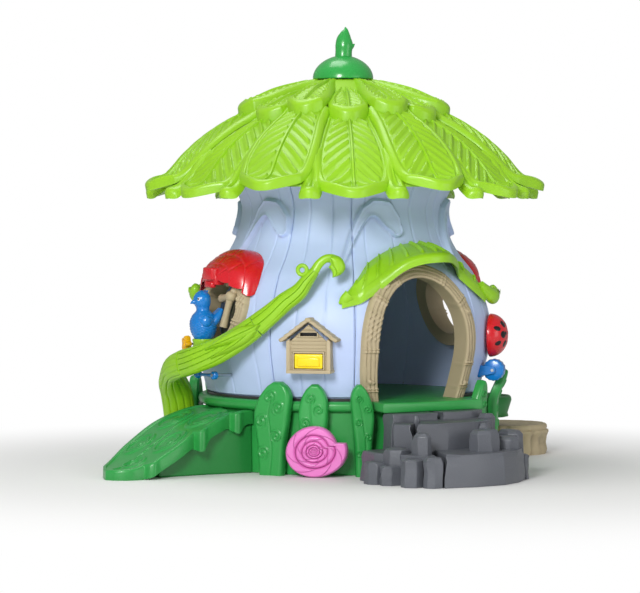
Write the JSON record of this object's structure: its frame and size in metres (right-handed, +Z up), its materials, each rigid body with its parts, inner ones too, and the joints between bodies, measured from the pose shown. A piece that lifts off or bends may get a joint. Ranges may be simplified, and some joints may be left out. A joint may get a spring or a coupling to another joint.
{
  "type": "plastic playhouse",
  "caption": "Round moulded playhouse shaped like a leafy cottage: leaf roof, blue vase wall, arched doors, hooded windows, steps, ramp and turning toys.",
  "frame": {"origin": "on the floor at the axis of the round house, at the centre foot's underside", "axes": "+Z up, the front door faces -Y, the ramp is on -X and the stump step on +X"},
  "size_m": [2.436, 2.1707, 1.9917],
  "materials": {
    "green_plastic": "satin moulded",
    "wall_blue_plastic": "fine moulded texture",
    "tan_plastic": "moulded bark texture",
    "lime_plastic": "satin moulded",
    "glossy_green_plastic": "glossy",
    "rock_grey_plastic": "moulded stone texture",
    "red_plastic": "glossy",
    "blue_plastic": "glossy",
    "yellow_plastic": "glossy",
    "orange_plastic": "glossy",
    "pink_plastic": "satin",
    "steel_pin": "plain"
  },
  "bodies": {
    "house": {"base_skirt_front": "green_plastic", "base_skirt_right": "green_plastic", "base_skirt_back": "green_plastic", "base_skirt_left": "green_plastic", "floor_deck": "green_plastic", "door_sill": "green_plastic", "back_door_sill": "green_plastic", "leaf_post_left_a": "green_plastic", "leaf_post_left_b": "green_plastic", "leaf_post_door_left": "green_plastic", "leaf_post_door_right": "green_plastic", "leaf_post_right": "green_plastic", "leaf_post_back_right": "green_plastic", "leaf_post_back_door_right": "green_plastic", "leaf_post_back_door_left": "green_plastic", "leaf_post_back_left": "green_plastic", "ramp_leaf": "green_plastic", "ramp_support": "green_plastic", "leaf_landing": "green_plastic", "wall_front": "wall_blue_plastic", "wall_right": "wall_blue_plastic", "wall_back": "wall_blue_plastic", "wall_left": "wall_blue_plastic", "wall_front_left": "wall_blue_plastic", "wall_front_right": "wall_blue_plastic", "wall_back_right": "wall_blue_plastic", "wall_back_left": "wall_blue_plastic", "front_door_frame": "tan_plastic", "right_window_frame": "tan_plastic", "back_door_frame": "tan_plastic", "left_window_frame": "tan_plastic", "stump_step": "tan_plastic", "birdhouse_box": "tan_plastic", "birdhouse_roof": "tan_plastic", "front_awning": "lime_plastic", "back_awning": "lime_plastic", "roof_half_right": "lime_plastic", "roof_half_left": "lime_plastic", "vine_stalk": "lime_plastic", "vine_rail": "lime_plastic", "vine_tip": "lime_plastic", "finial_cap": "glossy_green_plastic", "finial_stem": "glossy_green_plastic", "rock_steps": "rock_grey_plastic", "left_window_hood": "red_plastic", "right_window_hood": "red_plastic", "roller_bracket": "blue_plastic", "snail_shell": "pink_plastic", "bird_pin": "steel_pin", "ladybug_pin": "steel_pin", "roller_pin": "steel_pin", "birdhouse_flap_pin": "steel_pin", "flower_pin": "steel_pin", "lever_pin": "steel_pin"},
    "bird": {"bird": "blue_plastic"},
    "ladybug": {"ladybug": "red_plastic"},
    "roller": {"roller": "blue_plastic"},
    "flap": {"birdhouse_flap": "yellow_plastic"},
    "flower": {"flower_spinner": "orange_plastic"},
    "lever": {"lever": "blue_plastic"}
  },
  "joints": [
    {"name": "bird_turn", "type": "hinge", "parent": "house", "child": "bird", "pos_m": [-0.75354, -0.02631, 0.6], "axis": [0, 0, 1], "continuous": true},
    {"name": "ladybug_spin", "type": "hinge", "parent": "house", "child": "ladybug", "pos_m": [0.49497, -0.49497, 0.59], "axis": [0.7071, -0.7071, 0], "continuous": true},
    {"name": "roller_spin", "type": "hinge", "parent": "house", "child": "roller", "pos_m": [0.47241, -0.52466, 0.436], "axis": [0.7431, 0.6691, 0], "continuous": true},
    {"name": "flap_swing", "type": "hinge", "parent": "house", "child": "flap", "pos_m": [-0.507, -0.507, 0.529], "axis": [-0.7071, 0.7071, 0], "range_deg": [0, 75]},
    {"name": "flower_spin", "type": "hinge", "parent": "house", "child": "flower", "pos_m": [-0.7337, 0.16939, 0.556], "axis": [-0.9744, 0.225, 0], "continuous": true},
    {"name": "lever_swing", "type": "hinge", "parent": "house", "child": "lever", "pos_m": [-0.73647, -0.09043, 0.428], "axis": [-0.9925, -0.1219, 0], "range_deg": [-25, 25]}
  ]
}
